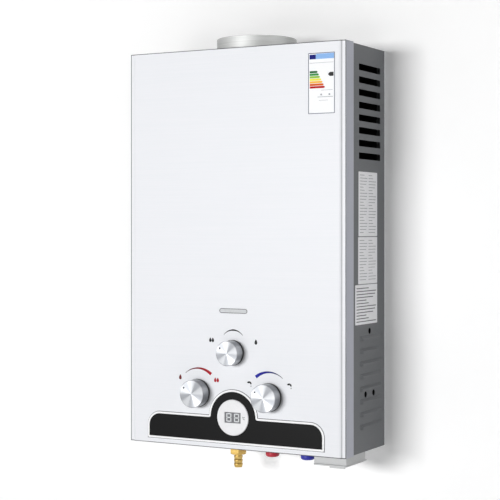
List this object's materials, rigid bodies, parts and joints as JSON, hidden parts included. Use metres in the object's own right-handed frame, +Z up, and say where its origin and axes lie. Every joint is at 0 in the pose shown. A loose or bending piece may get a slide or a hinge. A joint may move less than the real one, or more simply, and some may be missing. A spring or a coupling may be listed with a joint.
{
  "type": "tankless gas water heater",
  "caption": "Wall-hung instantaneous gas water heater with a tall sheet-metal casing, round flue collar, front control knobs with a display, louvred sides and bottom gas and water connections.",
  "frame": {"origin": "midpoint between the two hanging keyholes' entry holes, on the wall plane", "axes": "+X to the right seen from the front, +Y into the wall, +Z up"},
  "size_m": [0.4044, 0.1754, 0.7132],
  "materials": {
    "silver_enamel": "satin pale silver enamel with a faint level grain",
    "grey_enamel": "satin grey enamel",
    "galvanised_steel": "plain galvanised sheet",
    "flue_steel": "drawn steel",
    "zinc_steel": "zinc-plated",
    "copper": "tinned and heat-tinted copper",
    "burner_steel": "stainless burner sheet",
    "cast_aluminium": "as-cast",
    "spun_aluminium": "spun face with a radial sheen, polished side",
    "brass": "turned",
    "black_plastic": "fine matt moulding",
    "black_acrylic": "gloss black panel",
    "white_plastic": "gloss white moulding",
    "grey_plastic": "light grey moulding",
    "red_plastic": "soft gloss",
    "blue_plastic": "soft gloss",
    "display_grey": "grey display panel",
    "board_green": "circuit board",
    "smoked_glass": "pale grey pane",
    "ceramic_white": "glazed ceramic",
    "rubber": "moulded rubber",
    "lead_red": "silicone lead",
    "cell_wrap": "printed sleeve left plain"
  },
  "bodies": {
    "casing": {"battery_box": "grey_plastic", "battery_cells": "cell_wrap", "battery_hinge_pin": "zinc_steel", "bottom_panel": "galvanised_steel", "burner_bars": "burner_steel", "burner_frame": "burner_steel", "cold_feed_pipe": "copper", "cold_inlet_stub": "brass", "combustion_chamber": "copper", "cover_screws": "zinc_steel", "diaphragm": "rubber", "diaphragm_cover": "brass", "display_bezel": "white_plastic", "display_board": "board_green", "display_housing": "black_plastic", "display_lens": "display_grey", "electrodes": "ceramic_white", "exchanger_brackets": "galvanised_steel", "exchanger_coil": "copper", "fascia_frame": "white_plastic", "fascia_plate": "black_acrylic", "flue_collar": "flue_steel", "flue_hood": "galvanised_steel", "front_cover": "silver_enamel", "gas_hose_barb": "brass", "gas_inlet_nut": "brass", "gas_manifold": "cast_aluminium", "gas_nozzles": "brass", "gas_riser": "cast_aluminium", "gas_valve_body": "cast_aluminium", "gland_nuts": "brass", "heat_exchanger_fins": "copper", "hot_outlet_pipe": "copper", "hot_outlet_stub": "brass", "igniter_box": "black_plastic", "ignition_lead": "lead_red", "micro_switch": "black_plastic", "overheat_switch": "zinc_steel", "pipe_unions": "brass", "rear_panel": "galvanised_steel", "season_valve_body": "brass", "side_panel_left": "grey_enamel", "side_panel_right": "grey_enamel", "sight_window": "smoked_glass", "top_panel": "grey_enamel", "water_valve_body": "brass"},
    "gas_control": {"gas_spindle": "zinc_steel", "gas_knob_core": "black_plastic", "gas_knob_cap": "spun_aluminium"},
    "water_control": {"water_spindle": "zinc_steel", "water_knob_core": "black_plastic", "water_knob_cap": "spun_aluminium"},
    "season_control": {"season_spindle": "zinc_steel", "season_knob_core": "black_plastic", "season_knob_cap": "spun_aluminium"},
    "battery_door": {"battery_lid": "grey_plastic"},
    "hot_outlet_cover": {"hot_cap": "red_plastic"},
    "cold_inlet_cover": {"cold_cap": "blue_plastic"},
    "linkage": {"linkage_rod": "zinc_steel"},
    "lever": {"switch_lever": "zinc_steel"}
  },
  "joints": [
    {"name": "gas_knob_turn", "type": "hinge", "parent": "casing", "child": "gas_control", "pos_m": [-0.066, -0.153, -0.512], "axis": [0, 1, 0], "range_deg": [0, 113]},
    {"name": "water_knob_turn", "type": "hinge", "parent": "casing", "child": "water_control", "pos_m": [0.066, -0.153, -0.512], "axis": [0, 1, 0], "range_deg": [0, 113]},
    {"name": "season_knob_turn", "type": "hinge", "parent": "casing", "child": "season_control", "pos_m": [0, -0.153, -0.4435], "axis": [0, 1, 0], "range_deg": [0, 113]},
    {"name": "battery_lid_hinge", "type": "hinge", "parent": "casing", "child": "battery_door", "pos_m": [0.157, -0.0415, -0.6135], "axis": [1, 0, 0], "range_deg": [0, 100]},
    {"name": "hot_cap_pull", "type": "slide", "parent": "casing", "child": "hot_outlet_cover", "axis": [0, 0, -1], "range_m": [0, 0.03]},
    {"name": "cold_cap_pull", "type": "slide", "parent": "casing", "child": "cold_inlet_cover", "axis": [0, 0, -1], "range_m": [0, 0.03]},
    {"name": "linkage_slide", "type": "slide", "parent": "casing", "child": "linkage", "axis": [-1, 0, 0], "range_m": [0, 0.004]},
    {"name": "switch_lever_hinge", "type": "hinge", "parent": "casing", "child": "lever", "pos_m": [-0.0013, -0.078, -0.5087], "axis": [0, 1, 0], "range_deg": [0, 15]}
  ],
  "couplings": [
    {"joint": "switch_lever_hinge", "follows": "linkage_slide", "rad_per_m": 62.5}
  ]
}
